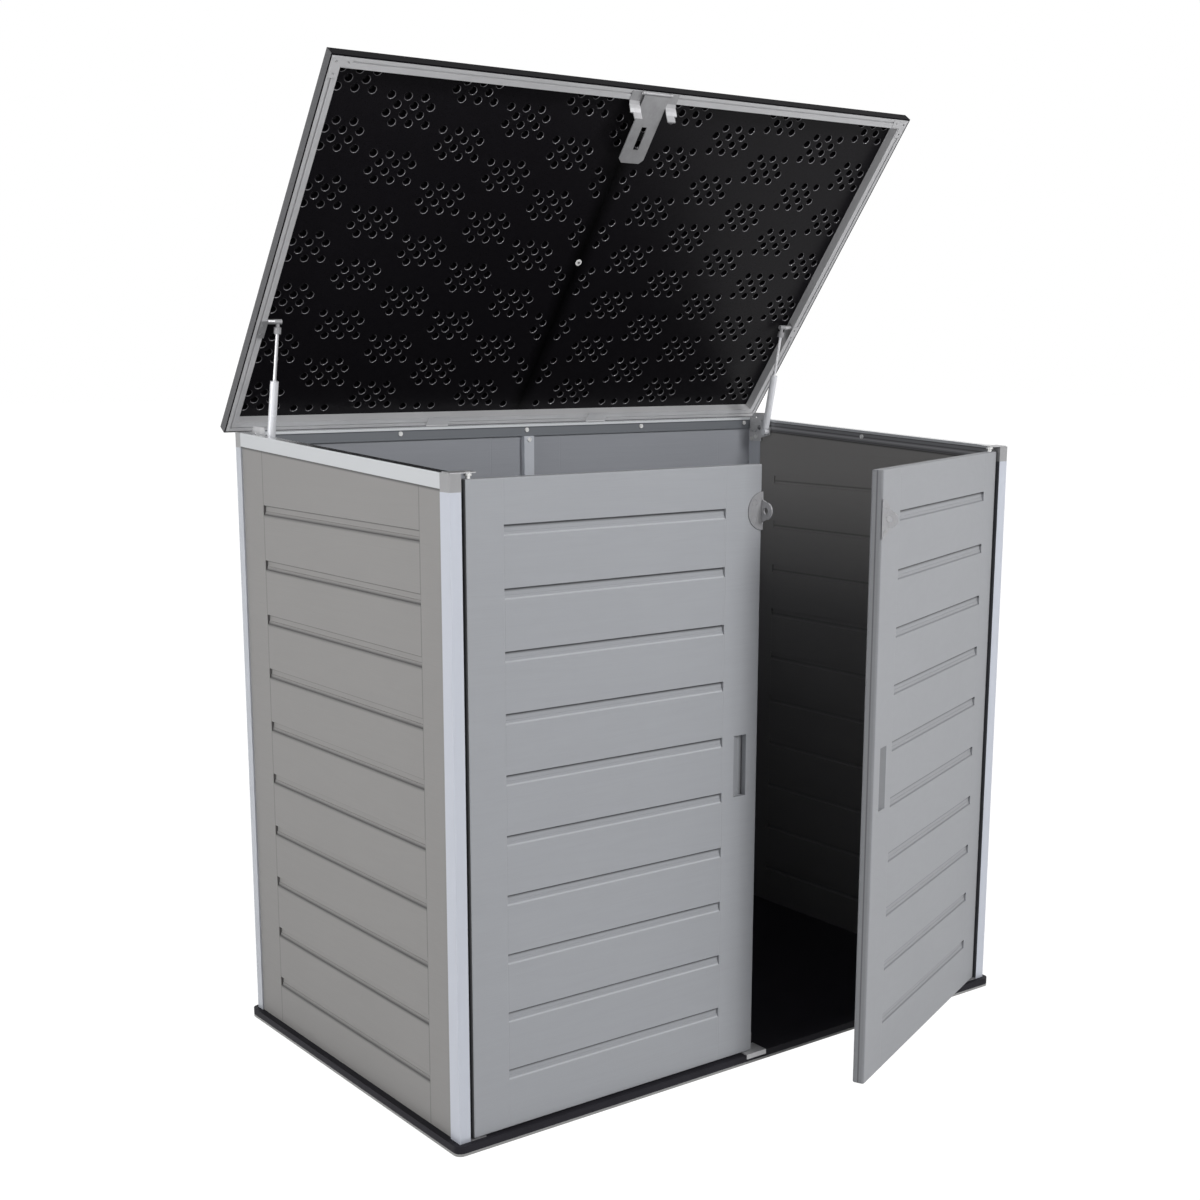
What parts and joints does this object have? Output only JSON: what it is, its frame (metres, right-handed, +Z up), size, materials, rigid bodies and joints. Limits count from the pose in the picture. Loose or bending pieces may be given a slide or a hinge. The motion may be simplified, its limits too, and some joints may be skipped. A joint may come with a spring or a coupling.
{
  "type": "garden storage cabinet",
  "caption": "Grey plank-grooved resin garden cabinet with two hinged doors and a black underside lid held open on two gas struts, one door ajar.",
  "frame": {"origin": "on the ground at the middle of the cabinet's footprint", "axes": "+Z up, front with the doors towards -Y, +X to the right as seen from the front"},
  "size_m": [1.304, 1.0225, 1.7479],
  "materials": {
    "panel_resin": "warm grey blow-moulded resin with an embossed wood grain",
    "door_resin": "light grey blow-moulded resin with an embossed wood grain",
    "lid_resin": "black resin, dimpled underneath",
    "base_resin": "dark grey resin with a fine texture",
    "trim_resin": "pale grey, smooth",
    "post_metal": "silver powder coat, satin",
    "cap_resin": "mid grey, satin",
    "lid_frame_metal": "silver grey coat, satin",
    "steel": "zinc plated, slightly dull",
    "strut_paint": "near white gloss",
    "rod_steel": "polished rod",
    "socket_resin": "light grey, satin"
  },
  "bodies": {
    "cabinet": {"base_floor": "base_resin", "base_trim": "trim_resin", "post_front_left": "post_metal", "post_front_right": "post_metal", "post_back_left": "post_metal", "post_back_right": "post_metal", "rail_left": "post_metal", "rail_right": "post_metal", "rail_back": "post_metal", "post_back_centre": "post_metal", "cap_front_left": "cap_resin", "cap_front_right": "cap_resin", "cap_back_left": "cap_resin", "cap_back_right": "cap_resin", "panel_side_left": "panel_resin", "panel_side_right": "panel_resin", "panel_back_left": "panel_resin", "panel_back_right": "panel_resin", "frame_screws": "steel", "pivot_plate_top_left": "steel", "pivot_plate_top_right": "steel", "pivot_plate_foot_left": "steel", "pivot_plate_foot_right": "steel", "pivot_pins_top": "steel", "pivot_pins_foot": "steel", "centre_catch": "steel", "hinge_leaves_cabinet": "steel", "hinge_pins": "steel", "strut_bracket_low_left": "steel", "strut_bracket_low_right": "steel"},
    "door_left": {"door_left": "door_resin", "lock_eye_left": "steel", "eye_rivets_left": "steel"},
    "door_right": {"door_right": "door_resin", "lock_eye_right": "steel", "eye_rivets_right": "steel"},
    "hasp": {"hasp_tongue": "steel"},
    "strut_cylinder_left": {"strut_tube_left": "strut_paint"},
    "strut_cylinder_right": {"strut_tube_right": "strut_paint"},
    "strut_piston_left": {"strut_rod_left": "rod_steel", "strut_socket_up_left": "socket_resin"},
    "strut_piston_right": {"strut_rod_right": "rod_steel", "strut_socket_up_right": "socket_resin"},
    "lid": {"lid_corner_plates": "steel", "lid_panel_left": "lid_resin", "lid_panel_right": "lid_resin", "lid_plug": "lid_resin", "lid_frame_left": "lid_frame_metal", "lid_frame_right": "lid_frame_metal", "lid_frame_front": "lid_frame_metal", "lid_frame_back": "lid_frame_metal", "hinge_leaves_lid": "steel", "strut_bracket_up_left": "steel", "strut_bracket_up_right": "steel", "hasp_bracket": "steel", "hasp_pin": "steel"}
  },
  "joints": [
    {"name": "left_door_hinge", "type": "hinge", "parent": "cabinet", "child": "door_left", "pos_m": [-0.5955, -0.3592, 0.55], "axis": [0, 0, -1], "range_deg": [0, 110]},
    {"name": "right_door_hinge", "type": "hinge", "parent": "cabinet", "child": "door_right", "pos_m": [0.5955, -0.3592, 0.55], "axis": [0, 0, 1], "range_deg": [-23, 87]},
    {"name": "lid_hinge", "type": "hinge", "parent": "cabinet", "child": "lid", "pos_m": [0, 0.3736, 1.13], "axis": [1, 0, 0], "range_deg": [0, 55.9]},
    {"name": "hasp_swing", "type": "hinge", "parent": "lid", "child": "hasp", "pos_m": [0, -0.07152, 1.7301], "axis": [-1, 0, 0], "range_deg": [0, 92.8]},
    {"name": "left_strut_swing", "type": "hinge", "parent": "cabinet", "child": "strut_cylinder_left", "pos_m": [-0.6045, 0.29, 1.105], "axis": [1, 0, 0], "range_deg": [0, 67.7]},
    {"name": "left_strut_slide", "type": "slide", "parent": "strut_cylinder_left", "child": "strut_piston_left", "axis": [0, 0.2064, -0.9785], "range_m": [0, 0.0721]},
    {"name": "right_strut_swing", "type": "hinge", "parent": "cabinet", "child": "strut_cylinder_right", "pos_m": [0.6045, 0.29, 1.105], "axis": [1, 0, 0], "range_deg": [0, 67.7]},
    {"name": "right_strut_slide", "type": "slide", "parent": "strut_cylinder_right", "child": "strut_piston_right", "axis": [0, 0.2064, -0.9785], "range_m": [0, 0.0721]}
  ],
  "couplings": [
    {"joint": "left_strut_swing", "follows": "lid_hinge", "ratio": 1.2076},
    {"joint": "left_strut_slide", "follows": "lid_hinge", "m_per_rad": 0.073696},
    {"joint": "right_strut_swing", "follows": "lid_hinge", "ratio": 1.2076},
    {"joint": "right_strut_slide", "follows": "lid_hinge", "m_per_rad": 0.073696}
  ]
}
